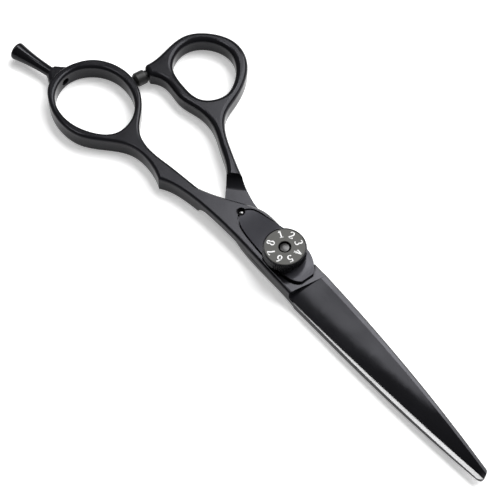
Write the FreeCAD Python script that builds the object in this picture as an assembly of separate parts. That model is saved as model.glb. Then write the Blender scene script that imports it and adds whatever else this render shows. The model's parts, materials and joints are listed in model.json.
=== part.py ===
import FreeCAD, Part

import math
import os

# Offset hair cutting shears, closed. Millimetres and degrees.
# Frame: origin on the pivot axis in the resting plane, +X towards the blade tips,
# +Y towards the thumb ring, +Z up through the tension dial.

# --- driving dimensions -------------------------------------------------------------
HANDLE_HEIGHT = 5.6          # rings and shanks, from the resting plane to the top
JOINT_GAP = 0.1              # running gap between the two halves
FINGER_EDGE_ROUND = 0.75     # rounding of the finger half's outer edges
THUMB_EDGE_ROUND = 1.2       # rounding of the thumb half's outer edges
HOLE_ROUND = 0.8             # rounding of the finger hole's edges
THUMB_HOLE_ROUND = 1.2       # rounding of the thumb hole's edges

BLADE_START = 9.0            # station where the cutting edge leaves the ricasso
BLADE_LENGTH = 68.0          # from that station to the tip
RICASSO_EDGE_END = 8.95      # the ricasso's slanted end, on the cutting edge's side
RICASSO_SPINE_END = 11.05    # and on the spine's side
BLADE_MIDLINE = -0.35        # the line that both blades mirror about
SPINE_THICKNESS = 2.74       # blade thickness at the spine, at the ricasso
START_WIDTH = 10.6           # blade width at its first station, across the midline
SPINE_FLARE = 0.45           # how far the lower blade's spine spreads to meet its ricasso
EDGE_THICKNESS = 0.3         # land at the cutting edge
FACE_BULGE = 0.3             # how far the convex outer face stands above a straight slope
SPINE_STRIP = 1.2            # flat strip along the spine, at the ricasso
TIP_STRIP = 0.35             # and at the tip
SPINE_CHAMFER = 0.5
HOLLOW_RADIUS = 40.0         # hollow grind of the inner face
HOLLOW_DEPTH = 0.12

STEP_RADIUS = 3.4            # concave run-out where a shank steps down to half height

PIVOT_R = 2.4                # shoulder of the pivot bolt
THREAD_R = 1.5
HEAD_R = 3.6
HEAD_HEIGHT = 1.05
FIT_CLEARANCE = 0.05         # clearance of every running fit
SEAT_CLEARANCE = 0.02        # clearance of every seated piece
BALL_CLEARANCE = 0.03        # round the balls in their cage and in the click plate's groove
KEY_FLAT = 1.9               # half the width across the bolt's flats
THREAD_FLAT = 1.15           # flat on the thread that keys the click plate
BUSH_R = 2.9
COUNTERBORE_R = 3.75
COUNTERBORE_DEPTH = 1.25
BEARING_R = 3.55             # pitch radius of the thrust bearing's balls
BEARING_WIDTH = 1.0
BALL_R = 0.4
BALL_COUNT = 16
RACE_THICKNESS = 0.1

DIAL_R = 5.65
DIAL_TOP = 10.4
DIAL_BOTTOM = 7.25
KNURL_TEETH = 72
KNURL_DEPTH = 0.22
CLICK_COUNT = 12
CLICK_R = 4.8
CLICK_BOTTOM = 6.75
CLICK_TOP = 7.1
DETENT_R = 3.6
DETENT_BALL_R = 0.4
DETENT_BALL_Z = 7.35
SPRING_TOP = 9.3
DIAL_FACE_R = 5.2
FACE_GROOVE = 0.16           # width of the groove round the dial's face
RIM_BEVEL = 0.4              # height of the bevel round the groove
DIAL_FACE_DEPTH = 0.4
DIAL_EYE_R = 1.66            # hole that shows the end of the bolt
BOLT_END = 10.05

RECESS_FLOOR = 4.35          # floor of the tension plate's pocket
PLATE_THICKNESS = 1.0
PLATE_TOP = 6.05             # top of the tension plate under the dial
PLATE_KEY_BOTTOM = 4.9
PIN_CENTRE = (-17.2, -0.35)
PIN_HOLE_R = 1.2
PIN_R = 0.8
PIN_FOOT = 3.6

REST_ANGLE = 194.5           # direction of the finger rest in plan, from +X
BOSS_FACE = (-83.7, -11.7)
BOSS_HALF_WIDTH = 1.85
BOSS_HALF_HEIGHT = 1.9
BOSS_ROUND = 1.2
REST_THREAD_R = 1.15
REST_STUD = 3.6
REST_WASHER = 0.3            # thickness of the washer under the rest
REST_WASHER_R = 1.75
REST_LENGTH = 12.93
BOSS_DEPTH = 7.0

HORN_FACE = (-67.3, 7.62)
HORN_HALF_WIDTH = 1.8
BUMPER_ANGLE = 261.3
BUMPER_R = 1.95
BUMPER_LENGTH = 4.3
BUMPER_BACK = 0.45           # from the horn's face to the wide part of the bumper
BUMPER_ROUND = 0.5           # rounding of the wide part's back edge
BUMPER_SCREW_R = 0.8
BUMPER_SCREW_DEPTH = 3.0

# --- heights that follow from them ----------------------------------------------------
JOINT_Z = HANDLE_HEIGHT / 2
UPPER_FLOOR = JOINT_Z + JOINT_GAP / 2      # underside of the finger half at the joint
LOWER_CEILING = JOINT_Z - JOINT_GAP / 2    # top of the thumb half at the joint
BLADE_TIP = BLADE_START + BLADE_LENGTH
BEARING_BOTTOM = JOINT_Z - BALL_R - FIT_CLEARANCE - RACE_THICKNESS
BEARING_TOP = JOINT_Z + BALL_R + FIT_CLEARANCE + RACE_THICKNESS
CLEAR = 30.0                               # reach of cutting tools past the material


# --- geometry helpers -------------------------------------------------------------------
def vec(x, y, z=0.0):
    return FreeCAD.Vector(x, y, z)


def polar(radius, angle):
    """Plan offset of a given length and direction in degrees."""
    return vec(radius * math.cos(math.radians(angle)), radius * math.sin(math.radians(angle)))


def spline(points, closed=False):
    """Smooth edge in the plane z = 0 through plan points."""
    curve = Part.BSplineCurve()
    curve.interpolate(Points=[vec(x, y) for x, y in points], PeriodicFlag=closed)
    return curve.toShape()


def line(start, end):
    return Part.makeLine(vec(*start), vec(*end))


def prism(edges, bottom, top):
    """Solid between two heights over a closed plan outline."""
    wire = Part.Wire(Part.__sortEdges__(edges))
    face = Part.Face(wire)
    face.translate(vec(0, 0, bottom))
    return face.extrude(vec(0, 0, top - bottom))


def disc(radius, bottom, top, x=0.0, y=0.0):
    return Part.makeCylinder(radius, top - bottom, vec(x, y, bottom))


def ring(outer, inner, bottom, top):
    return disc(outer, bottom, top).cut(disc(inner, bottom - 1, top + 1))


def turned(profile):
    """Solid of revolution about Z from (radius, height) points."""
    corners = [vec(radius, 0, height) for radius, height in profile]
    face = Part.Face(Part.makePolygon(corners + corners[:1]))
    return face.revolve(vec(0, 0, 0), vec(0, 0, 1), 360)


def along(solid, start, angle):
    """Lays a solid made along +Z into the joint plane, pointing at a plan angle."""
    solid.rotate(vec(0, 0, 0), vec(0, 1, 0), 90)
    solid.rotate(vec(0, 0, 0), vec(0, 0, 1), angle)
    solid.translate(vec(start[0], start[1], JOINT_Z))
    return solid


def edges_at(solid, height, inside=None):
    """Edges lying flat at a height, all of them or those within a plan box."""
    found = []
    for edge in solid.Edges:
        box = edge.BoundBox
        flat = abs(box.ZMin - height) < 1e-6 and abs(box.ZMax - height) < 1e-6
        if flat and (inside is None or inside(box)):
            found.append(edge)
    return found


def rounded(solid, radius, edges):
    return solid.makeFillet(radius, edges).Solids[0]


def face_corner(centre, half_width, angle, side):
    """Plan end of a face's width, where the face looks along a plan angle."""
    offset = polar(half_width, angle - 90 * side)
    return (centre[0] + offset.x, centre[1] + offset.y)


def mirrored_half(solid):
    """Turns a piece of the upper half into its partner below the joint plane."""
    turned_over = solid.copy()
    turned_over.rotate(vec(0, BLADE_MIDLINE, JOINT_Z), vec(1, 0, 0), 180)
    return turned_over


def save(name, shape):
    shape.exportStep(os.path.join("parts", name + ".step"))


# --- blades --------------------------------------------------------------------------------
def blade_station(x, flare):
    """Spine and edge positions across the upper blade, and its spine thickness."""
    u = (x - BLADE_START) / BLADE_LENGTH
    spine = BLADE_MIDLINE + 5.2 - 3.85 * u**2 + flare * (1 - u)**8
    edge = BLADE_MIDLINE - 5.4 + 3.55 * u + 1.6 * u**2
    thickness = SPINE_THICKNESS - 0.55 * u - 0.83 * u**3
    return spine, edge, thickness


def blade_section(x, flare):
    """Section of the solid under the blade's outer face, wider than the blade."""
    spine, edge, thickness = blade_station(x, flare)
    margin = 0.6
    low = UPPER_FLOOR - 1
    edge_top = UPPER_FLOOR + EDGE_THICKNESS
    spine_top = UPPER_FLOOR + thickness
    crest = spine - SPINE_CHAMFER
    along_blade = (x - BLADE_START) / BLADE_LENGTH
    ridge = crest - SPINE_STRIP - (TIP_STRIP - SPINE_STRIP) * along_blade
    slope = (spine_top - edge_top) / (ridge - edge)
    start = vec(x, edge - margin, edge_top - 1.5 * slope * margin)
    bulge = FACE_BULGE * thickness / SPINE_THICKNESS * (spine - edge) / START_WIDTH
    middle = vec(x, (edge + ridge) / 2, (edge_top + spine_top) / 2 + bulge)
    strip = [vec(x, ridge, spine_top), vec(x, crest, spine_top)]
    outside = vec(x, spine + margin, spine_top - SPINE_CHAMFER - margin)
    foot = vec(x, spine + margin, low)
    heel = vec(x, edge - margin, low)
    arc = Part.Arc(start, middle, strip[0]).toShape()
    rest = Part.makePolygon(strip + [outside, foot, heel, start])
    return Part.Wire([arc] + rest.Edges)


def blade(flare=0.0):
    """Upper blade: plan outline under a convex outer face, hollow ground inside."""
    stations = [BLADE_START - 4 + k * (BLADE_LENGTH + 5) / 5 for k in range(6)]
    envelope = Part.makeLoft([blade_section(x, flare) for x in stations], True)
    inside = 0.1
    spine_x = [RICASSO_SPINE_END - inside, 15.0, 20.0, 27.0, 44.0, 61.0, BLADE_TIP - 2]
    spine = [(x, blade_station(x, flare)[0]) for x in spine_x]
    edge_x = [RICASSO_EDGE_END - inside, 27.0, 44.0, 61.0, BLADE_TIP - 0.1]
    edge = [(x, blade_station(x, flare)[1]) for x in edge_x]
    tip_round = Part.Arc(vec(*spine[-1]), vec(BLADE_TIP - 0.45, 0.6), vec(*edge[-1])).toShape()
    tang = [edge[0], (BLADE_START - 2, -3.0), (BLADE_START - 2, 3.0), spine[0]]
    outline = [spline(spine), tip_round, spline(edge)]
    outline += [line(start, end) for start, end in zip(tang, tang[1:])]
    body = prism(outline, UPPER_FLOOR, HANDLE_HEIGHT + 1).common(envelope).Solids[0]

    hollow_start = vec(BLADE_START + 7, BLADE_MIDLINE, UPPER_FLOOR + HOLLOW_DEPTH - HOLLOW_RADIUS)
    fall = vec(BLADE_LENGTH, 0, -HOLLOW_DEPTH)
    hollow = Part.makeCylinder(HOLLOW_RADIUS, BLADE_LENGTH - 12, hollow_start, fall)
    return body.cut(hollow)


# --- finger half -----------------------------------------------------------------------------
RICASSO_NEAR = (RICASSO_EDGE_END, -5.85)
RICASSO_FAR = (RICASSO_SPINE_END, 4.85)


def ricasso_end(y):
    """Point of the ricasso's slanted end at a given distance across."""
    (near_x, near_y), (far_x, far_y) = RICASSO_NEAR, RICASSO_FAR
    return (near_x + (far_x - near_x) * (y - near_y) / (far_y - near_y), y)


def finger_outline():
    """Plan outline of finger ring, shank and the ricasso's cutting-edge side."""
    around = [
        ricasso_end(1.0), (-2.0, 0.9), (-14.0, -0.2), (-22.0, -2.7), (-29.5, -4.35),
        (-40.0, -5.9), (-47.0, -6.85), (-53.0, -5.6), (-58.0, -1.2), (-62.5, 1.95),
        (-69.0, 3.3), (-74.6, 1.9), (-79.0, -1.5), (-81.0, -5.5), (-81.6, -9.9),
        (-79.6, -15.8), (-76.4, -18.15), (-72.5, -19.65), (-67.5, -20.15), (-62.0, -18.85),
        (-56.4, -14.5), (-50.6, -10.2), (-45.0, -9.35), (-38.3, -10.8),
    ]
    near_shank = [
        (-38.3, -10.8), (-35.6, -9.2), (-31.0, -7.8), (-24.0, -6.7), (-12.0, -5.95), RICASSO_NEAR,
    ]
    return [spline(around), spline(near_shank), line(RICASSO_NEAR, around[0])]


def finger_hole():
    """Oval finger hole, a little fuller on the side of the finger rest."""
    return [spline([
        (-56.5, -8.7), (-60.2, -1.8), (-67.5, 0.8), (-75.0, -1.4),
        (-79.3, -9.0), (-75.7, -16.4), (-67.5, -18.1), (-60.9, -15.5),
    ], closed=True)]


def boss():
    """Flared boss that carries the finger rest, reaching in past the ring's wall."""
    far_corner = face_corner(BOSS_FACE, BOSS_HALF_WIDTH, REST_ANGLE, +1)
    near_corner = face_corner(BOSS_FACE, BOSS_HALF_WIDTH, REST_ANGLE, -1)
    far_foot, near_foot = (-80.2, -5.0), (-78.8, -15.3)
    outline = [
        line(near_corner, far_corner),
        Part.Arc(vec(*far_corner), vec(-82.35, -8.0), vec(*far_foot)).toShape(),
        line(far_foot, near_foot),
        Part.Arc(vec(*near_foot), vec(-81.2, -14.5), vec(*near_corner)).toShape(),
    ]
    bottom, top = JOINT_Z - BOSS_HALF_HEIGHT, JOINT_Z + BOSS_HALF_HEIGHT
    body = prism(outline, bottom, top)
    flares = [edge for edge in edges_at(body, bottom) + edges_at(body, top)
              if not isinstance(edge.Curve, Part.Line)]
    return rounded(body, BOSS_ROUND, flares)


def ricasso_cap():
    """Flat upper layer of the ricasso, whose far edge runs on into the blade's spine."""
    far = [
        (-35.0, -6.6), (-31.0, -4.95), (-27.0, -3.15), (-22.8, -0.8), (-19.4, 1.4),
        (-16.6, 3.2), (-13.4, 4.55), (-9.0, 4.95), (0.0, 4.9), RICASSO_FAR,
    ]
    inner = [ricasso_end(-4.6), (-12.0, -4.5), (-25.0, -5.2), (-35.0, -6.6)]
    sides = [line(start, end) for start, end in zip(far[-1:] + inner, inner)]
    cap = prism([spline(far)] + sides, UPPER_FLOOR, HANDLE_HEIGHT)
    far_rim = max(edges_at(cap, HANDLE_HEIGHT), key=lambda edge: edge.BoundBox.YMax - edge.BoundBox.YMin)
    return cap.makeChamfer(SPINE_CHAMFER, [far_rim]).Solids[0]


def step_cutter(start, angle, upper):
    """Clears one layer of a shank beyond a line, with a concave run-out.

    The line passes through start, and the cleared side lies at the given plan angle."""
    top = LOWER_CEILING if upper else UPPER_FLOOR
    sign = 1 if upper else -1
    slab = Part.makeBox(2 * BLADE_TIP, 2 * CLEAR, CLEAR, vec(0, -CLEAR, 0))
    axle = Part.makeCylinder(STEP_RADIUS, 2 * CLEAR, vec(0, -CLEAR, STEP_RADIUS), vec(0, 1, 0))
    cutter = slab.fuse(axle)
    if sign < 0:
        cutter.rotate(vec(0, 0, 0), vec(1, 0, 0), 180)
    cutter.rotate(vec(0, 0, 0), vec(0, 0, 1), angle)
    cutter.translate(vec(start[0], start[1], top))
    return cutter


def race_groove(bottom, top):
    """Counterbore that holds the pivot's thrust bearing."""
    return ring(BEARING_R + BEARING_WIDTH / 2, BEARING_R - BEARING_WIDTH / 2, bottom, top)


def round_outline(body, radius, corners=()):
    """Rounds a half's outline above and below, apart from the ricasso's end, and the upright corners given."""
    def beside_end(box):
        return box.XMin < RICASSO_EDGE_END - 0.05

    edges = edges_at(body, 0, beside_end) + edges_at(body, HANDLE_HEIGHT, beside_end)
    return rounded(body, radius, edges + list(corners))


def finger_blade():
    body = round_outline(prism(finger_outline(), 0, HANDLE_HEIGHT), FINGER_EDGE_ROUND).fuse(boss())
    body = body.cut(prism(finger_hole(), -1, HANDLE_HEIGHT + 1))
    body = rounded(body, HOLE_ROUND, ring_rims(body, finger_hole()[0]))
    body = body.cut(along(disc(REST_THREAD_R, -BOSS_DEPTH, 1), BOSS_FACE, REST_ANGLE))
    body = body.cut(step_cutter((-23.5, -5.0), 0, upper=False))
    body = body.fuse(ricasso_cap()).fuse(blade()).removeSplitter()

    body = body.cut(prism(leaf(POCKET_NEAR, POCKET_FAR), RECESS_FLOOR, HANDLE_HEIGHT + 1))
    body = body.cut(disc(PIN_HOLE_R, RECESS_FLOOR, HANDLE_HEIGHT + 1, *PIN_CENTRE))
    body = body.cut(disc(PIN_R, PIN_FOOT, RECESS_FLOOR + 1, *PIN_CENTRE))
    body = body.cut(disc(PIVOT_R + SEAT_CLEARANCE, 0, HANDLE_HEIGHT + 1))
    return body.cut(race_groove(UPPER_FLOOR - 1, BEARING_TOP)).Solids[0]


def ring_rims(body, outline):
    """Upper and lower rim of a ring's hole."""
    box = outline.BoundBox
    grown = 0.1

    def inside(edge_box):
        across = edge_box.XMin > box.XMin - grown and edge_box.XMax < box.XMax + grown
        along_y = edge_box.YMin > box.YMin - grown and edge_box.YMax < box.YMax + grown
        return across and along_y

    return edges_at(body, 0, inside) + edges_at(body, HANDLE_HEIGHT, inside)


# --- thumb half --------------------------------------------------------------------------------
def thumb_outline():
    """Plan outline of the thumb ring, its horn, the shank and the ricasso."""
    horn_left = face_corner(HORN_FACE, HORN_HALF_WIDTH, BUMPER_ANGLE, +1)
    horn_right = face_corner(HORN_FACE, HORN_HALF_WIDTH, BUMPER_ANGLE, -1)
    outer = [
        (RICASSO_EDGE_END, 5.15), (0.0, 5.15), (-10.0, 4.95), (-17.2, 4.75), (-22.2, 5.8),
        (-27.1, 7.3), (-34.0, 9.8), (-39.6, 12.35), (-43.4, 15.7), (-45.45, 20.3),
        (-48.35, 25.95), (-52.8, 30.35), (-59.4, 31.85), (-65.7, 28.8), (-69.9, 22.5),
        (-69.6, 16.4), (-68.75, 11.6), horn_left,
    ]
    inner = [
        horn_right, (-61.5, 9.45), (-55.0, 9.15), (-48.8, 10.6), (-42.6, 10.5), (-36.5, 8.1),
        (-30.4, 5.3), (-24.3, 0.1), (-16.0, -4.6), (-6.0, -5.95), (RICASSO_SPINE_END, -5.95),
    ]
    return [
        spline(outer),
        line(horn_left, horn_right),
        spline(inner),
        line(inner[-1], outer[0]),
    ]


def horn_corner(body):
    """Upright edge at the outer corner of the horn's face."""
    corner = face_corner(HORN_FACE, HORN_HALF_WIDTH, BUMPER_ANGLE, +1)
    middle = vec(*corner, HANDLE_HEIGHT / 2)
    return [edge for edge in body.Edges if edge.CenterOfMass.distanceToPoint(middle) < 0.01]


def thumb_hole():
    """Egg-shaped thumb hole, broad on the side of the shank."""
    return [spline([
        (-48.4, 20.6), (-52.2, 25.95), (-57.5, 28.5), (-63.6, 26.7),
        (-67.2, 20.6), (-64.3, 14.1), (-57.5, 12.35), (-50.6, 13.7),
    ], closed=True)]


def thumb_blade():
    body = prism(thumb_outline(), 0, HANDLE_HEIGHT)
    body = round_outline(body, THUMB_EDGE_ROUND, horn_corner(body))
    body = body.cut(prism(thumb_hole(), -1, HANDLE_HEIGHT + 1))
    body = rounded(body, THUMB_HOLE_ROUND, ring_rims(body, thumb_hole()[0]))
    socket = disc(BUMPER_SCREW_R, -BUMPER_SCREW_DEPTH - 0.3, 1)
    body = body.cut(along(socket, HORN_FACE, BUMPER_ANGLE))
    body = body.cut(step_cutter((-24.45, 3.7), -45, upper=True))
    body = body.fuse(mirrored_half(blade(SPINE_FLARE)))

    body = body.cut(disc(COUNTERBORE_R, -1, COUNTERBORE_DEPTH))
    body = body.cut(disc(BUSH_R, 0, HANDLE_HEIGHT))
    return body.cut(race_groove(BEARING_BOTTOM, LOWER_CEILING + 1)).Solids[0]


def bumper():
    """Domed rubber stop with a neck against the horn."""
    dome = BUMPER_LENGTH - 1.6
    body = disc(BUMPER_R, BUMPER_BACK, BUMPER_LENGTH)
    body = rounded(body, BUMPER_ROUND, edges_at(body, BUMPER_BACK))
    body = body.fuse(disc(BUMPER_R - BUMPER_ROUND, 0, 1))
    ball = Part.makeSphere(BUMPER_R + 0.25, vec(0, 0, BUMPER_LENGTH - BUMPER_R - 0.25))
    keep = ball.fuse(disc(BUMPER_R + 1, 0, dome))
    body = body.common(keep).cut(bumper_screw_blank())
    return along(body, HORN_FACE, BUMPER_ANGLE)


def bumper_screw_blank():
    shank = disc(BUMPER_SCREW_R, -BUMPER_SCREW_DEPTH, 2.0)
    return shank.fuse(disc(BUMPER_SCREW_R + 0.5, 1.5, 2.1))


def bumper_screw():
    return along(bumper_screw_blank(), HORN_FACE, BUMPER_ANGLE)


# --- pivot -----------------------------------------------------------------------------------------
def keyed(radius, flat, bottom, top):
    """Cylinder with two parallel flats."""
    reach = 2 * radius
    slab = Part.makeBox(reach, 2 * flat, top - bottom, vec(-reach / 2, -flat, bottom))
    return disc(radius, bottom, top).common(slab)


def pivot_bolt():
    """Shoulder bolt: head below, flats in the tension plate, thread in the dial."""
    head = turned([
        (0, 0), (1.2, 0), (1.35, 0.15), (HEAD_R - 0.9, 0.15), (HEAD_R - 0.75, 0), (HEAD_R - 0.2, 0),
        (HEAD_R, 0.2), (HEAD_R, HEAD_HEIGHT), (0, HEAD_HEIGHT),
    ])
    shoulder = disc(PIVOT_R, HEAD_HEIGHT - 0.1, PLATE_KEY_BOTTOM)
    key = keyed(PIVOT_R, KEY_FLAT, PLATE_KEY_BOTTOM - 0.1, PLATE_TOP - 0.05)
    end = BOLT_END
    thread = turned([
        (0, PLATE_TOP - 1), (THREAD_R, PLATE_TOP - 1), (THREAD_R, end - 0.45),
        (THREAD_R - 0.35, end - 0.1), (0.6, end - 0.02), (0, end),
    ])
    flat = Part.makeBox(3, 6, end - PLATE_TOP + 0.05, vec(THREAD_FLAT, -3, PLATE_TOP - 0.05))
    thread = thread.cut(flat)
    return head.fuse(shoulder).fuse(key).fuse(thread).removeSplitter()


def pivot_bush():
    return ring(BUSH_R, PIVOT_R + FIT_CLEARANCE, COUNTERBORE_DEPTH, LOWER_CEILING)


def head_washer():
    bottom, top = HEAD_HEIGHT + SEAT_CLEARANCE, COUNTERBORE_DEPTH - SEAT_CLEARANCE
    return ring(HEAD_R, PIVOT_R + FIT_CLEARANCE, bottom, top)


def bearing_balls():
    balls = []
    for k in range(BALL_COUNT):
        centre = polar(BEARING_R, 360 * k / BALL_COUNT) + vec(0, 0, JOINT_Z)
        balls.append(Part.makeSphere(BALL_R, centre))
    return Part.makeCompound(balls)


def bearing_cage():
    half_width = BEARING_WIDTH / 2 - FIT_CLEARANCE
    cage = ring(BEARING_R + half_width, BEARING_R - half_width, JOINT_Z - 0.15, JOINT_Z + 0.15)
    for k in range(BALL_COUNT):
        place = polar(BEARING_R, 360 * k / BALL_COUNT)
        cage = cage.cut(disc(BALL_R + BALL_CLEARANCE, 0, HANDLE_HEIGHT, place.x, place.y))
    return cage


def race(bottom):
    """Hardened washer that the bearing balls run on."""
    half_width = BEARING_WIDTH / 2 - SEAT_CLEARANCE
    return ring(BEARING_R + half_width, BEARING_R - half_width, bottom, bottom + RACE_THICKNESS)


# --- tension dial stack --------------------------------------------------------------------------
PLATE_NEAR = [
    (-17.0, 0.2), (-16.0, -1.9), (-13.0, -3.2), (-8.0, -3.85), (-2.0, -4.1), (3.5, -3.75),
    (7.0, -2.7), (8.5, -1.3),
]
PLATE_FAR = [(8.6, 2.3), (6.8, 4.1), (3.4, 5.5), (-1.0, 5.55), (-6.7, 4.85), (-12.2, 3.5), (-15.6, 2.3)]
POCKET_NEAR = [
    (-17.35, 0.1), (-16.4, -2.15), (-13.2, -3.65), (-8.0, -4.2), (-2.0, -4.45), (3.5, -4.3),
    (6.3, -3.95), (8.1, -3.1), (9.1, -1.9),
]
POCKET_FAR = [(9.15, 2.3), (6.95, 4.3), (3.5, 5.75), (-1.0, 5.8), (-6.8, 5.1), (-12.3, 3.8), (-15.8, 2.6)]


def leaf(near, far):
    """Leaf-shaped plan outline with a blunt end by the blade."""
    return [spline(near), line(near[-1], far[0]), spline(far + near[:1])]


def tension_plate():
    """Leaf spring, bowed up under the dial."""
    top = [(-19.0, 5.42), (-12.5, 5.58), (-6.5, 5.98), (0.0, PLATE_TOP), (5.5, 6.0), (10.5, 5.45)]
    low = [(x, z - PLATE_THICKNESS) for x, z in top]
    edges = [spline(top), line(top[-1], low[-1]), spline(low), line(low[0], top[0])]
    face = Part.Face(Part.Wire(Part.__sortEdges__(edges)))
    face.rotate(vec(0, 0, 0), vec(1, 0, 0), 90)
    face.translate(vec(0, CLEAR, 0))
    bent = face.extrude(vec(0, -2 * CLEAR, 0))
    plate = prism(leaf(PLATE_NEAR, PLATE_FAR), 0, 2 * HANDLE_HEIGHT).common(bent)
    plate = plate.cut(disc(PIN_R + 0.3, 0, 2 * HANDLE_HEIGHT, *PIN_CENTRE))
    key_hole = keyed(PIVOT_R + SEAT_CLEARANCE, KEY_FLAT + SEAT_CLEARANCE, 0, 2 * HANDLE_HEIGHT)
    return plate.cut(key_hole).Solids[0]


def plate_pin():
    """Dome-topped pin that stands at the tip of the tension plate."""
    dome_top = HANDLE_HEIGHT - 0.3
    pin = disc(PIN_R - SEAT_CLEARANCE, PIN_FOOT, dome_top, *PIN_CENTRE)
    ball_centre = vec(*PIN_CENTRE, dome_top - 1.0)
    dome = Part.makeSphere(1.0, ball_centre)
    return pin.common(dome.fuse(disc(2, 0, dome_top - 0.6, *PIN_CENTRE)))


def disc_spring():
    """Conical spring washer between the tension plate and the click plate."""
    inner, outer, thickness = PIVOT_R + 0.3, 4.6, 0.2
    low, high = PLATE_TOP + BALL_CLEARANCE, CLICK_BOTTOM - SEAT_CLEARANCE
    return turned([
        (outer, low), (outer, low + thickness), (inner, high), (inner, high - thickness),
    ])


def click_plate():
    """Keyed washer with a ball groove and a ring of detent dimples."""
    plate = disc(CLICK_R, CLICK_BOTTOM, CLICK_TOP)
    bore = disc(THREAD_R + FIT_CLEARANCE, 0, DIAL_TOP)
    bore = bore.cut(Part.makeBox(3, 6, DIAL_TOP, vec(THREAD_FLAT + FIT_CLEARANCE, -3, 0)))
    groove = Part.makeTorus(DETENT_R, DETENT_BALL_R + BALL_CLEARANCE, vec(0, 0, DETENT_BALL_Z))
    plate = plate.cut(bore).cut(groove)
    for k in range(CLICK_COUNT):
        centre = polar(DETENT_R, 360 * k / CLICK_COUNT) + vec(0, 0, DETENT_BALL_Z + 0.05)
        plate = plate.cut(Part.makeSphere(DETENT_BALL_R + 0.15, centre))
    return plate


def knurled_rim():
    """Cylinder with straight knurling, bevelled at both ends."""
    corners = []
    for k in range(2 * KNURL_TEETH):
        radius = DIAL_R if k % 2 == 0 else DIAL_R - KNURL_DEPTH
        corners.append(polar(radius, 180 * k / KNURL_TEETH) + vec(0, 0, DIAL_BOTTOM))
    star = Part.Face(Part.makePolygon(corners + corners[:1]))
    star = star.extrude(vec(0, 0, DIAL_TOP - DIAL_BOTTOM))
    outside = DIAL_R + SEAT_CLEARANCE
    envelope = turned([
        (0, DIAL_BOTTOM), (DIAL_R - 0.35, DIAL_BOTTOM), (outside, DIAL_BOTTOM + 0.35),
        (outside, DIAL_TOP - RIM_BEVEL), (DIAL_FACE_R + FACE_GROOVE + 0.05, DIAL_TOP), (0, DIAL_TOP),
    ])
    return star.common(envelope)


def tension_dial():
    dial = knurled_rim()
    dial = dial.cut(disc(DIAL_FACE_R + FACE_GROOVE, DIAL_TOP - DIAL_FACE_DEPTH, DIAL_TOP + 1))
    dial = dial.cut(disc(THREAD_R + FIT_CLEARANCE, 0, DIAL_TOP))
    dial = dial.cut(disc(DIAL_EYE_R, DIAL_TOP - 1.3, DIAL_TOP))
    for place in detent_places():
        pocket = disc(DETENT_BALL_R + FIT_CLEARANCE, DIAL_BOTTOM - 1, SPRING_TOP, place.x, place.y)
        dial = dial.cut(pocket)
    return dial


def dial_face():
    """Satin disc let into the top of the dial."""
    outer, inner = DIAL_FACE_R, DIAL_EYE_R
    bottom, top = DIAL_TOP - DIAL_FACE_DEPTH, DIAL_TOP - 0.05
    chamfer = 0.06
    return turned([
        (inner, bottom), (outer, bottom), (outer, top - chamfer), (outer - chamfer, top),
        (inner + chamfer, top), (inner, top - chamfer),
    ])


def detent_places():
    return [polar(DETENT_R, 0), polar(DETENT_R, 180)]


def detent_balls():
    height = vec(0, 0, DETENT_BALL_Z)
    return Part.makeCompound([Part.makeSphere(DETENT_BALL_R, p + height) for p in detent_places()])


def detent_springs():
    """Small coil springs behind the detent balls."""
    wire_r = 0.07
    coil_r = DETENT_BALL_R - wire_r - SEAT_CLEARANCE
    bottom = DETENT_BALL_Z + DETENT_BALL_R + wire_r
    height = SPRING_TOP - wire_r - SEAT_CLEARANCE - bottom
    helix = Part.makeHelix(height / 6, height, coil_r)
    start = Part.Wire(Part.makeCircle(wire_r, vec(coil_r, 0, 0), vec(0, 1, 0)))
    coil = Part.Wire(helix.Edges).makePipeShell([start], True, True)
    coils = []
    for place in detent_places():
        one = coil.copy()
        one.translate(place + vec(0, 0, bottom))
        coils.append(one)
    return Part.makeCompound(coils)


# --- finger rest ------------------------------------------------------------------------------------
def crown(radius, rim_height, apex_height):
    """Profile of a shallow dome from its rim to its apex on the axis."""
    rise = apex_height - rim_height
    sphere = (radius**2 + rise**2) / (2 * rise)
    half = radius / 2
    middle = apex_height - sphere + math.sqrt(sphere**2 - half**2)
    return Part.Arc(vec(radius, 0, rim_height), vec(half, 0, middle), vec(0, 0, apex_height))


def finger_rest():
    """Trumpet-shaped rest with its threaded stud."""
    foot, lip, rim = vec(1.42, 0, REST_WASHER), vec(2.4, 0, 11.7), vec(1.9, 0, 12.5)
    flare = Part.Arc(foot, vec(1.6, 0, 5.5), lip)
    lip_round = Part.Arc(lip, vec(2.3, 0, 12.2), rim)
    dome = crown(rim.x, rim.z, REST_LENGTH)
    thread_r = REST_THREAD_R - SEAT_CLEARANCE
    stud = Part.makePolygon([
        vec(0, 0, REST_LENGTH), vec(0, 0, -REST_STUD), vec(thread_r - 0.25, 0, -REST_STUD),
        vec(thread_r, 0, 0.25 - REST_STUD), vec(thread_r, 0, REST_WASHER), foot,
    ])
    edges = [flare.toShape(), lip_round.toShape(), dome.toShape()] + stud.Edges
    wire = Part.Wire(Part.__sortEdges__(edges))
    body = Part.Face(wire).revolve(vec(0, 0, 0), vec(0, 0, 1), 360)
    return along(body, BOSS_FACE, REST_ANGLE)


def rest_washer():
    return along(ring(REST_WASHER_R, REST_THREAD_R + SEAT_CLEARANCE, 0, REST_WASHER), BOSS_FACE, REST_ANGLE)


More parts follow.
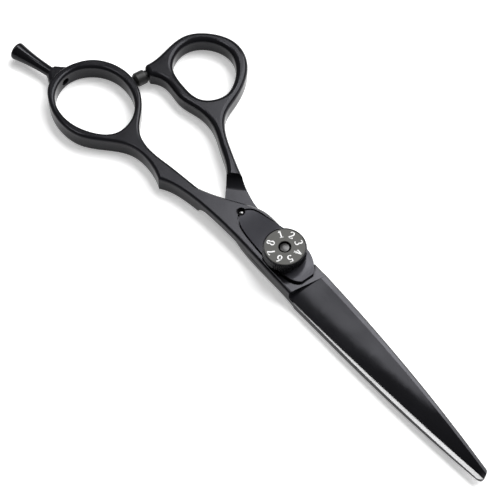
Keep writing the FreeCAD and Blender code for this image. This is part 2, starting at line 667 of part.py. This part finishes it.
# --- build -------------------------------------------------------------------------------------------
NODES = {
    "finger_blade": finger_blade,
    "finger_rest": finger_rest,
    "rest_washer": rest_washer,
    "thumb_blade": thumb_blade,
    "bumper": bumper,
    "bumper_screw": bumper_screw,
    "pivot_bolt": pivot_bolt,
    "pivot_bush": pivot_bush,
    "head_washer": head_washer,
    "bearing_balls": bearing_balls,
    "bearing_cage": bearing_cage,
    "lower_race": lambda: race(BEARING_BOTTOM),
    "upper_race": lambda: race(BEARING_TOP - RACE_THICKNESS),
    "tension_plate": tension_plate,
    "plate_pin": plate_pin,
    "disc_spring": disc_spring,
    "click_plate": click_plate,
    "tension_dial": tension_dial,
    "dial_face": dial_face,
    "detent_balls": detent_balls,
    "detent_springs": detent_springs,
}

os.makedirs("parts", exist_ok=True)
for name, build in NODES.items():
    save(name, build())
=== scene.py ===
"""Looks of the hair cutting shears: coatings, ground steel, dial numerals, floor, light and camera.

Lengths are in metres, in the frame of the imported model. The pivot axis is Z, the blades point along +X
and the closed shears rest on z = 0. Small sizes are written as a number of millimetres times MM.
"""

import json
import math

import bmesh
import bpy
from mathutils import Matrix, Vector


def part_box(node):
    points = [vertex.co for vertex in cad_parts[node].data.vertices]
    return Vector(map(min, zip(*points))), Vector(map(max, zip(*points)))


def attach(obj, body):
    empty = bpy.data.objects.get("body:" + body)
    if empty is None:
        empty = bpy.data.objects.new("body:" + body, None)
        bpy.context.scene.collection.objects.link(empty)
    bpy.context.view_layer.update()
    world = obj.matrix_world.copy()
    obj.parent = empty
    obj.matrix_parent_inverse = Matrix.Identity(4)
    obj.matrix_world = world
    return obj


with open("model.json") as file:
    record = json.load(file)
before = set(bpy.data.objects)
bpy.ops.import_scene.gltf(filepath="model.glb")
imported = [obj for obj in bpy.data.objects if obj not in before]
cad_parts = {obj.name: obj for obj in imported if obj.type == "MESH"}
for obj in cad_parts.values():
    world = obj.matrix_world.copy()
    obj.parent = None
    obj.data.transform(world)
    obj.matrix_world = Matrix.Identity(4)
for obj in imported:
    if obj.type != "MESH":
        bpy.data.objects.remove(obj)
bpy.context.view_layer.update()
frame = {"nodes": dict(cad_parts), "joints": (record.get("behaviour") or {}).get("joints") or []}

MM = 0.001
nodes = frame["nodes"]

# --- places worked out from the frame -----------------------------------------------------------
MEETING_Z = next(joint["pos_m"][2] for joint in frame["joints"] if joint["name"] == "blade_pivot")
DIAL_FACE_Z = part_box("dial_face")[1].z
PAST_PLATE = 0.5 * MM        # from the tension plate's end to where the blades' inner faces are bare
INNER_FACE_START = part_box("tension_plate")[1].x + PAST_PLATE
INNER_FACE_REACH = 0.45 * MM    # the inner faces lie this close to the plane where the blades meet
LEVEL = 0.9                  # least upward or downward share of a level face's normal

# --- camera, as the shears are looked at ---------------------------------------------------------
CAMERA_AZIMUTH = math.radians(51.2)
CAMERA_ELEVATION = math.radians(60.0)
CAMERA_DISTANCE = 600 * MM
CAMERA_TARGET = Vector((-9.378, -3.657, 0)) * MM
CAMERA_LENS, CAMERA_SENSOR = 168.48, 36.0    # in millimetres, as Blender wants them
CAMERA_NEAR = 10 * MM
CAMERA_FAR = 100

# --- light: softboxes in a dim room, each as (azimuth, elevation, half width, half height, feather,
# strength). Angles are in degrees from the shears, half sizes and feathers are tangents. ------------
ROOM = 0.08                  # brightness of the room between the softboxes
KEY_BOX = (86.0, 53.0, 0.4, 0.4, 0.1, 7.4)              # lights the floor and casts the shadow
BLADE_PANEL = (196.0, 69.5, 0.15, 0.09, 0.045, 7.0)     # seen mirrored in the upper blade's face
FLAT_PANEL = (133.5, 60.5, 0.083, 0.1, 0.014, 13.0)     # seen mirrored in the level faces
FADE = (0.05, 0.2)           # cosines of the angle off a softbox's middle, between which it fades in

# --- floor ---------------------------------------------------------------------------------------
FLOOR_SIZE = 60              # metres, so that its end is out of sight
FLOOR_DROP = 0.02 * MM       # the floor's depth below the shears, which keeps the two apart
FLOOR_TONES = (0.9, 0.93)
FLOOR_BLOTCH = 60 * MM
FLOOR_ROUGHNESS = 0.9
FLOOR_GLOW = 0.38

# --- dial numerals -------------------------------------------------------------------------------
NUMERAL_RADIUS = 3.75 * MM
NUMERAL_HEIGHT = 2.0 * MM
NUMERAL_RAISE = 0.03 * MM
NUMERAL_FIRST = math.degrees(CAMERA_AZIMUTH) + 105.5    # degrees from +X round to the numeral 1
NUMERAL_STEP = 43.5          # degrees from one numeral to the next
NUMERAL_MIDDLE = (0.33, 0.5)    # on the grid, one unit high, that the strokes are drawn on
PEN_THICK, PEN_THIN = 0.17, 0.08    # widths of a stroke that runs down and of one that runs across

# --- surfaces: blotches, grain and skin are sizes of noise, shades are shares of a material's tone ----
MIDDLE_NOISE = (0.3, 0.7)    # range of most of a noise's values
WIDE_NOISE = (0.2, 0.8)      # range of nearly all of them

COAT_GRAIN = 0.16 * MM
COAT_DEPTH = 0.004 * MM      # of the grain
GLOSS_DEPTH = 0.001 * MM
COAT_BLOTCH = 9 * MM
BLOTCH_SHARE = 0.7           # of the blotches in the mix with the fine grain
COAT_SHADES = (0.8, 1.25)
COAT_SPECULAR = 0.17
COAT_WAVER = 0.04            # of the roughness
COAT_BUMP = 0.5
COAT_EDGE = 0.07 * MM        # radius with which sharp edges catch the light
COOL_BLUE, WARM_BLUE = 1.16, 0.94    # blue against red and green
COOL_SHEEN = (0.92, 1.09)    # tone and blue of a cool coating's reflections
SCUFF = 0.5 * MM
SCUFF_STRETCH = (9, 1, 9)
SCUFF_NOISE = (0.6, 0.8)     # noise values over which a scuff sets in
SCUFF_WEAR = 0.06            # roughness that a scuff adds

METAL_MARK = 0.05 * MM       # width of a grinding mark
METAL_DEPTH = 0.002 * MM
METAL_BLOTCH = 6 * MM
METAL_SHADES = (0.85, 1.1)
METAL_WAVER, MARK_WAVER = 0.03, 0.05    # of the roughness, with the blotches and with the marks
METAL_BUMP = 0.4
STEEL_BLUE = 1.01

RUBBER_SKIN = 0.09 * MM
RUBBER_BLOTCH = 2.5 * MM
RUBBER_TONES = (0.008, 0.016)
RUBBER_ROUGHNESS = (0.42, 0.56)
RUBBER_SPECULAR = 0.45
RUBBER_DEPTH = 0.004 * MM
RUBBER_BUMP = 0.4

PLASTIC_SKIN = 0.3 * MM
PLASTIC_SHADE = 0.93
PLASTIC_BLUES = (0.96, 0.97)
PLASTIC_ROUGHNESS = (0.4, 0.5)

PAINT_SKIN = 0.12 * MM
PAINT_TONES = (0.78, 0.9)
PAINT_ROUGHNESS = (0.45, 0.6)


# --- node helpers ---------------------------------------------------------------------------------
def add(tree, kind, inputs=None, **settings):
    """New node. inputs maps a socket's name or index to a value or to another node's output."""
    made = tree.nodes.new(kind)
    for name, value in settings.items():
        setattr(made, name, value)
    for name, value in (inputs or {}).items():
        if isinstance(value, bpy.types.NodeSocket):
            tree.links.new(value, made.inputs[name])
        else:
            made.inputs[name].default_value = value
    return made


def maths(tree, operation, a, b=0.0):
    return add(tree, "ShaderNodeMath", {0: a, 1: b}, operation=operation).outputs[0]


def dot(tree, a, b):
    made = add(tree, "ShaderNodeVectorMath", {0: a, 1: b}, operation="DOT_PRODUCT")
    return made.outputs["Value"]


def span(tree, value, low, high, to_low=0.0, to_high=1.0, smooth=False):
    """value from low..high brought to to_low..to_high, and held there outside."""
    kind = "SMOOTHSTEP" if smooth else "LINEAR"
    sockets = {"Value": value, "From Min": low, "From Max": high, "To Min": to_low, "To Max": to_high}
    return add(tree, "ShaderNodeMapRange", sockets, interpolation_type=kind).outputs["Result"]


def noise(tree, place, size, detail=2.0, stretch=(1, 1, 1)):
    """Noise whose blotches are about size metres across, longer where stretch is over 1."""
    scaled = add(tree, "ShaderNodeMapping", {"Vector": place, "Scale": [1 / (size * s) for s in stretch]})
    made = add(tree, "ShaderNodeTexNoise", {"Vector": scaled.outputs[0], "Scale": 1.0, "Detail": detail})
    return made.outputs["Fac"]


def blend(tree, amount, a, b):
    """Colour a where amount is 0 and b where it is 1."""
    made = add(tree, "ShaderNodeMix", {"Factor": amount, "A": a, "B": b}, data_type="RGBA")
    return made.outputs["Result"]


def waver(tree, value, amount):
    """Noise brought to -amount..amount."""
    return span(tree, value, *MIDDLE_NOISE, -amount, amount)


def new_material(name):
    material = bpy.data.materials.new(name)
    material.use_nodes = True
    tree = material.node_tree
    tree.nodes.clear()
    place = add(tree, "ShaderNodeTexCoord").outputs["Object"]
    surface = add(tree, "ShaderNodeBsdfPrincipled")
    output = add(tree, "ShaderNodeOutputMaterial")
    tree.links.new(surface.outputs[0], output.inputs["Surface"])
    return material, tree, place, surface


def grey(value, blue=1.0):
    return (value, value, value * blue, 1.0)


# --- materials ------------------------------------------------------------------------------------
def coating(name, tone, roughness, depth=COAT_DEPTH, warm=False):
    """Thin coating over blasted steel: fine grain, slow changes of tone and sheen, faint scuffs."""
    material, tree, place, surface = new_material(name)
    fine = noise(tree, place, COAT_GRAIN, detail=3)
    slow = noise(tree, place, COAT_BLOTCH, detail=4)
    scuff = noise(tree, place, SCUFF, stretch=SCUFF_STRETCH)
    slow_part = maths(tree, "MULTIPLY", slow, BLOTCH_SHARE)
    fine_part = maths(tree, "MULTIPLY", fine, 1 - BLOTCH_SHARE)
    mottled = maths(tree, "ADD", slow_part, fine_part)
    blue = WARM_BLUE if warm else COOL_BLUE
    dark, light = (grey(tone * shade, blue) for shade in COAT_SHADES)
    tree.links.new(blend(tree, mottled, dark, light), surface.inputs["Base Color"])
    wear = span(tree, scuff, *SCUFF_NOISE, 0.0, SCUFF_WEAR)
    sheen = maths(tree, "ADD", waver(tree, slow, COAT_WAVER), wear)
    tree.links.new(maths(tree, "ADD", sheen, roughness), surface.inputs["Roughness"])
    surface.inputs["Specular IOR Level"].default_value = COAT_SPECULAR
    surface.inputs["Specular Tint"].default_value = grey(1.0) if warm else grey(*COOL_SHEEN)
    bump = add(tree, "ShaderNodeBump", {"Height": fine, "Strength": COAT_BUMP, "Distance": depth})
    edge = add(tree, "ShaderNodeBevel", {"Radius": COAT_EDGE}, samples=4)
    tree.links.new(edge.outputs[0], bump.inputs["Normal"])
    tree.links.new(bump.outputs[0], surface.inputs["Normal"])
    return material


def ground_metal(name, colour, roughness, stretch=(1, 1, 1), mark=METAL_MARK):
    """Ground or stamped metal: fine marks, drawn out into lines where stretch is over 1."""
    material, tree, place, surface = new_material(name)
    marks = noise(tree, place, mark, detail=3, stretch=stretch)
    slow = noise(tree, place, METAL_BLOTCH)
    dark, light = ([part * shade for part in colour] + [1.0] for shade in METAL_SHADES)
    tree.links.new(blend(tree, marks, dark, light), surface.inputs["Base Color"])
    surface.inputs["Metallic"].default_value = 1.0
    sheen = maths(tree, "ADD", waver(tree, slow, METAL_WAVER), waver(tree, marks, MARK_WAVER))
    tree.links.new(maths(tree, "ADD", sheen, roughness), surface.inputs["Roughness"])
    sockets = {"Height": marks, "Strength": METAL_BUMP, "Distance": METAL_DEPTH}
    bump = add(tree, "ShaderNodeBump", sockets)
    tree.links.new(bump.outputs[0], surface.inputs["Normal"])
    return material


def steel(tone):
    """Colour of steel of a brightness."""
    return grey(tone, STEEL_BLUE)[:3]


def rubber(name):
    """Moulded black rubber, matt, with a very fine skin."""
    material, tree, place, surface = new_material(name)
    skin = noise(tree, place, RUBBER_SKIN, detail=3)
    slow = noise(tree, place, RUBBER_BLOTCH)
    dark, light = (grey(tone) for tone in RUBBER_TONES)
    tree.links.new(blend(tree, slow, dark, light), surface.inputs["Base Color"])
    tree.links.new(span(tree, skin, *WIDE_NOISE, *RUBBER_ROUGHNESS), surface.inputs["Roughness"])
    surface.inputs["Specular IOR Level"].default_value = RUBBER_SPECULAR
    sockets = {"Height": skin, "Strength": RUBBER_BUMP, "Distance": RUBBER_DEPTH}
    bump = add(tree, "ShaderNodeBump", sockets)
    tree.links.new(bump.outputs[0], surface.inputs["Normal"])
    return material


def plastic(name, tone):
    """Natural low-friction plastic."""
    material, tree, place, surface = new_material(name)
    skin = noise(tree, place, PLASTIC_SKIN)
    dark, light = grey(tone * PLASTIC_SHADE, PLASTIC_BLUES[0]), grey(tone, PLASTIC_BLUES[1])
    tree.links.new(blend(tree, skin, dark, light), surface.inputs["Base Color"])
    tree.links.new(span(tree, skin, *WIDE_NOISE, *PLASTIC_ROUGHNESS), surface.inputs["Roughness"])
    return material


def paint(name):
    """White marking paint."""
    material, tree, place, surface = new_material(name)
    skin = noise(tree, place, PAINT_SKIN)
    dark, light = (grey(tone) for tone in PAINT_TONES)
    tree.links.new(blend(tree, skin, dark, light), surface.inputs["Base Color"])
    tree.links.new(span(tree, skin, *WIDE_NOISE, *PAINT_ROUGHNESS), surface.inputs["Roughness"])
    return material


BLACK = coating("black_satin_coating", 0.009, 0.15)
PLATE = coating("plate_coating", 0.034, 0.2)
GLOSS = coating("gloss_black_coating", 0.006, 0.12, depth=GLOSS_DEPTH)
DIAL = coating("dial_coating", 0.007, 0.2)
FACE = coating("dial_face_coating", 0.085, 0.42, warm=True)
POLISHED = ground_metal("ground_blade_steel", steel(0.255), 0.46, stretch=(1, 30, 1))
BRIGHT = ground_metal("bright_steel", steel(0.7), 0.12)
PIN = ground_metal("pin_steel", steel(0.16), 0.14)
BOLT = ground_metal("dark_bolt_steel", steel(0.06), 0.34, mark=2 * METAL_MARK)
BRASS = ground_metal("stamped_brass", (0.68, 0.5, 0.22), 0.28, mark=2.4 * METAL_MARK)
RUBBER = rubber("bumper_rubber")
PLASTIC = plastic("natural_plastic", 0.82)
PAINT = paint("white_marking")

MATERIALS = {
    "finger_blade": BLACK,
    "thumb_blade": BLACK,
    "tension_plate": PLATE,
    "plate_pin": PIN,
    "finger_rest": GLOSS,
    "rest_washer": GLOSS,
    "bumper": RUBBER,
    "bumper_screw": BRIGHT,
    "pivot_bolt": BOLT,
    "pivot_bush": PLASTIC,
    "head_washer": PLASTIC,
    "bearing_cage": BRASS,
    "bearing_balls": BRIGHT,
    "lower_race": BRIGHT,
    "upper_race": BRIGHT,
    "disc_spring": BRIGHT,
    "click_plate": BRIGHT,
    "tension_dial": DIAL,
    "dial_face": FACE,
    "detent_balls": BRIGHT,
    "detent_springs": BRIGHT,
}


def dress_nodes():
    for name, material in MATERIALS.items():
        slots = nodes[name].data.materials
        slots.clear()
        slots.append(material)


def polish_inner_face(name, upward):
    """Gives a blade's inner face, from just past the tension plate to the tip, bare ground steel."""
    mesh = nodes[name].data
    mesh.materials.append(POLISHED)
    for face in mesh.polygons:
        facing = face.normal.z if upward else -face.normal.z
        near = abs(face.center.z - MEETING_Z) < INNER_FACE_REACH
        if facing > LEVEL and near and face.center.x > INNER_FACE_START:
            face.material_index = 1


# --- dial numerals: ribbons that are thick where they run down and thin where they run across -----
def arc(x, y, width, height, start, end, steps=18):
    """Part of an ellipse on the numeral's grid; angles run anticlockwise from +x."""
    turns = [math.radians(start + (end - start) * k / steps) for k in range(steps + 1)]
    return [(x + width * math.cos(t), y + height * math.sin(t)) for t in turns]


# Each stroke is a line of points on a grid that is one unit high.
STROKES = {
    1: [[(0.1, 0.8), (0.2, 0.87), (0.3, 1.0)], [(0.33, 0.97), (0.33, 0.03)], [(0.1, 0.03), (0.56, 0.03)]],
    2: [
        arc(0.32, 0.73, 0.24, 0.25, 165, -35) + [(0.4, 0.42), (0.2, 0.2), (0.1, 0.05)],
        [(0.08, 0.06), (0.56, 0.06)], [(0.56, 0.03), (0.6, 0.24)],
    ],
    3: [arc(0.3, 0.75, 0.2, 0.23, 150, -90), arc(0.28, 0.27, 0.26, 0.25, 90, -150)],
    4: [
        [(0.44, 1.0), (0.06, 0.3)], [(0.04, 0.3), (0.64, 0.3)],
        [(0.45, 1.0), (0.45, 0.03)], [(0.3, 0.03), (0.6, 0.03)],
    ],
    5: [[(0.54, 0.94), (0.16, 0.94)], [(0.15, 0.96), (0.12, 0.54)], arc(0.3, 0.31, 0.26, 0.29, 120, -150)],
    6: [[(0.54, 0.96), (0.32, 0.86), (0.16, 0.62)] + arc(0.32, 0.31, 0.24, 0.29, 150, 510, 32)],
    7: [
        [(0.06, 0.82), (0.08, 0.94)], [(0.07, 0.94), (0.58, 0.94)],
        [(0.58, 0.94), (0.34, 0.5), (0.24, 0.02)],
    ],
    8: [arc(0.32, 0.75, 0.19, 0.22, 0, 360, 28), arc(0.32, 0.27, 0.25, 0.26, 0, 360, 28)],
}


def ribbon(points):
    """Outline corners on both sides of a stroke, like the mark of a broad pen."""
    left, right = [], []
    for k, (x, y) in enumerate(points):
        x0, y0 = points[max(k - 1, 0)]
        x1, y1 = points[min(k + 1, len(points) - 1)]
        along = Vector((x1 - x0, y1 - y0)).normalized()
        half = (PEN_THIN + (PEN_THICK - PEN_THIN) * abs(along.y)) / 2
        aside = Vector((-along.y, along.x)) * half
        left.append((x + aside.x, y + aside.y))
        right.append((x - aside.x, y - aside.y))
    return left, right


def numeral(mesh, strokes, angle):
    """Adds one numeral's raised strokes to a mesh, its foot towards the dial's middle."""
    upward = Vector((math.cos(angle), math.sin(angle), 0))
    across = Vector((upward.y, -upward.x, 0))

    def corner(point, raised):
        x, y = ((part - middle) * NUMERAL_HEIGHT for part, middle in zip(point, NUMERAL_MIDDLE))
        height = DIAL_FACE_Z + (NUMERAL_RAISE if raised else -NUMERAL_RAISE)
        place = across * x + upward * (y + NUMERAL_RADIUS)
        return mesh.verts.new((place.x, place.y, height))

    for stroke in strokes:
        left, right = ribbon(stroke)
        rows = [
            [corner(a, True), corner(b, True), corner(b, False), corner(a, False)]
            for a, b in zip(left, right)
        ]
        for row, after in zip(rows, rows[1:]):
            for side in range(4):
                other = (side + 1) % 4
                mesh.faces.new((row[side], row[other], after[other], after[side]))
        mesh.faces.new(rows[0][::-1])
        mesh.faces.new(rows[-1])


def numerals():
    """Eight numerals round the dial's face, running clockwise."""
    for value, strokes in STROKES.items():
        angle = math.radians(NUMERAL_FIRST - NUMERAL_STEP * (value - 1))
        shape = bmesh.new()
        numeral(shape, strokes, angle)
        bmesh.ops.recalc_face_normals(shape, faces=shape.faces)
        mesh = bpy.data.meshes.new(f"numeral_{value}")
        shape.to_mesh(mesh)
        shape.free()
        mark = bpy.data.objects.new(f"numeral_{value}", mesh)
        bpy.context.scene.collection.objects.link(mark)
        mark.data.materials.append(PAINT)
        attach(mark, "dial")


# --- floor, light and camera ----------------------------------------------------------------------
def floor():
    material, tree, place, surface = new_material("pale_floor")
    mottle = noise(tree, place, FLOOR_BLOTCH)
    dark, light = (grey(tone) for tone in FLOOR_TONES)
    tree.links.new(blend(tree, mottle, dark, light), surface.inputs["Base Color"])
    surface.inputs["Roughness"].default_value = FLOOR_ROUGHNESS
    surface.inputs["Specular IOR Level"].default_value = 0.0
    surface.inputs["Emission Color"].default_value = grey(1.0)
    surface.inputs["Emission Strength"].default_value = FLOOR_GLOW
    bpy.ops.mesh.primitive_plane_add(size=FLOOR_SIZE, location=(0, 0, -FLOOR_DROP))
    plane = bpy.context.object
    plane.name = "floor"
    plane.data.materials.append(material)


def direction(azimuth, elevation):
    a, e = math.radians(azimuth), math.radians(elevation)
    return Vector((math.cos(a) * math.cos(e), math.sin(a) * math.cos(e), math.sin(e)))


def softbox(tree, look, box):
    """Rectangular glow round a direction."""
    azimuth, elevation, half_width, half_height, feather, strength = box
    ahead = direction(azimuth, elevation)
    across = Vector((0, 0, 1)).cross(ahead).normalized()
    upward = ahead.cross(across)
    forward = dot(tree, look, ahead)
    safe = maths(tree, "MAXIMUM", forward, FADE[0])
    glow = span(tree, forward, *FADE)
    for axis, half in ((across, half_width), (upward, half_height)):
        aside = maths(tree, "DIVIDE", maths(tree, "ABSOLUTE", dot(tree, look, axis)), safe)
        window = span(tree, aside, half - feather, half + feather, 1.0, 0.0, smooth=True)
        glow = maths(tree, "MULTIPLY", glow, window)
    return maths(tree, "MULTIPLY", glow, strength)


def studio():
    world = bpy.data.worlds.new("studio")
    bpy.context.scene.world = world
    world.use_nodes = True
    tree = world.node_tree
    tree.nodes.clear()
    look = add(tree, "ShaderNodeTexCoord").outputs["Generated"]
    total = ROOM
    for box in (KEY_BOX, BLADE_PANEL, FLAT_PANEL):
        total = maths(tree, "ADD", softbox(tree, look, box), total)
    background = add(tree, "ShaderNodeBackground", {"Color": grey(1.0), "Strength": total})
    output = add(tree, "ShaderNodeOutputWorld")
    tree.links.new(background.outputs[0], output.inputs["Surface"])
    bpy.context.scene.view_settings.view_transform = "Standard"


def camera():
    data = bpy.data.cameras.new("camera")
    data.lens = CAMERA_LENS
    data.sensor_width = CAMERA_SENSOR
    made = bpy.data.objects.new("camera", data)
    bpy.context.scene.collection.objects.link(made)
    level = math.cos(CAMERA_ELEVATION)
    back = Vector((
        math.sin(CAMERA_AZIMUTH) * level, -math.cos(CAMERA_AZIMUTH) * level, math.sin(CAMERA_ELEVATION)
    ))
    made.location = CAMERA_TARGET + back * CAMERA_DISTANCE
    made.rotation_mode = "QUATERNION"
    made.rotation_quaternion = back.to_track_quat("Z", "Y")
    data.clip_start = CAMERA_NEAR
    data.clip_end = CAMERA_FAR
    bpy.context.scene.camera = made


dress_nodes()
polish_inner_face("thumb_blade", upward=True)
polish_inner_face("finger_blade", upward=False)
numerals()
floor()
studio()
camera()
